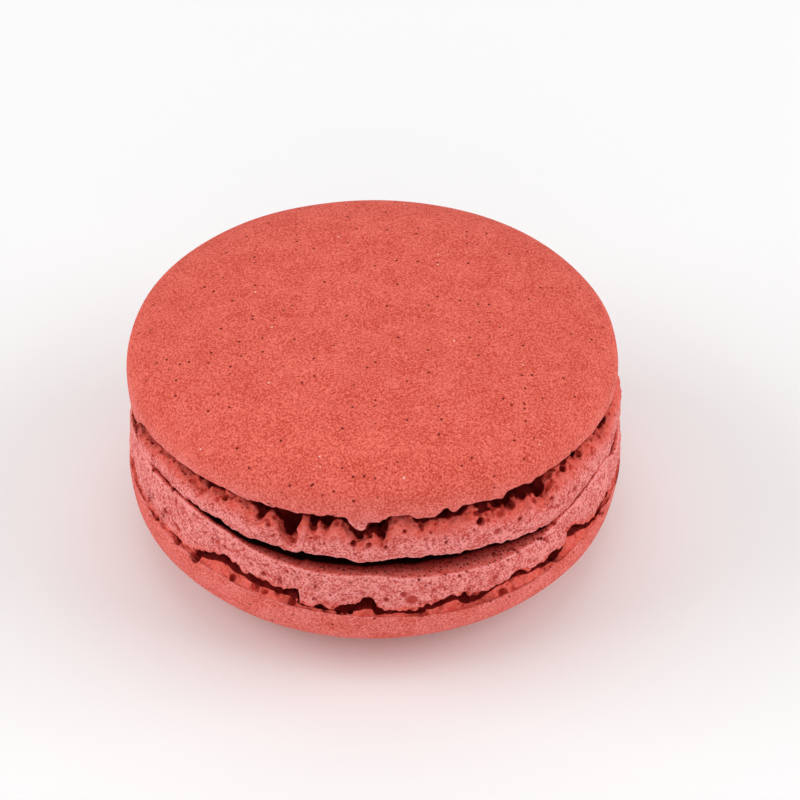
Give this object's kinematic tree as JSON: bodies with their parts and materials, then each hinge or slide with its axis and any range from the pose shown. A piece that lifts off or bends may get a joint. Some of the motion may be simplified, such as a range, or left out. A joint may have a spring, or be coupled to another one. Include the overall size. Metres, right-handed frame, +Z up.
{
  "type": "macaron",
  "caption": "Round sandwich biscuit: smooth domed almond-meringue shells with ragged porous feet, joined by a thin filling; rests on a small flat spot under its lower shell.",
  "frame": {"origin": "middle of the flat spot under the lower shell, at the bottom centre of the whole macaron", "axes": "+Z up through the crown of the upper shell; -Y towards the side where the shells stand slightly open; +X to the right seen from that side"},
  "size_m": [0.0488, 0.0488, 0.0268],
  "materials": {
    "baked_shell": "matte",
    "filling": "satin"
  },
  "bodies": {
    "root": {"shell_bottom": "baked_shell", "filling": "filling", "shell_top": "baked_shell"}
  },
  "joints": []
}
